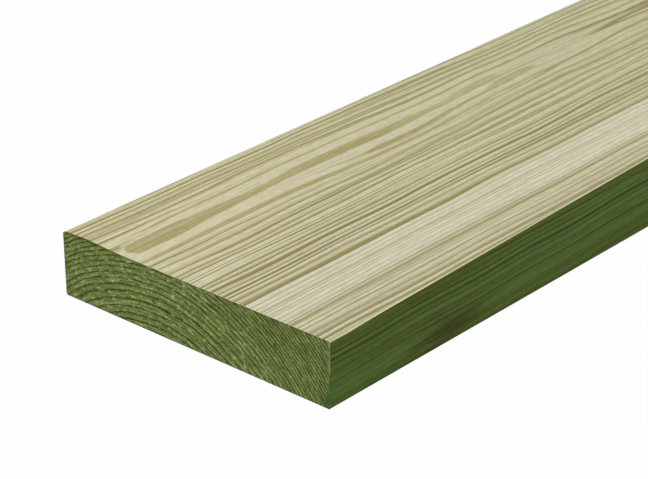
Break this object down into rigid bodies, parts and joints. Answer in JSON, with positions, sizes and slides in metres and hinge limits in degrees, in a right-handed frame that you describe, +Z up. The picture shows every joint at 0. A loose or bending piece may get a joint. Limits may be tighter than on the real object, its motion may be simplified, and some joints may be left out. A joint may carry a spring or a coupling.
{
  "type": "pressure-treated pine board",
  "caption": "Planed softwood board, rectangular in section with eased long edges and square-sawn ends, green from pressure treatment; laid flat for decking, fencing and outdoor framing.",
  "frame": {"origin": "middle of the underside, on the surface that the board lies on", "axes": "+X along the board's length and grain, +Y across its width, +Z up out of the top face"},
  "size_m": [1.8, 0.14, 0.028],
  "materials": {
    "treated_pine": "planed pine, pale straw with olive growth rings on the wide faces, green preservative tint on the edges and sawn ends"
  },
  "bodies": {
    "root": {"board": "treated_pine"}
  },
  "joints": []
}
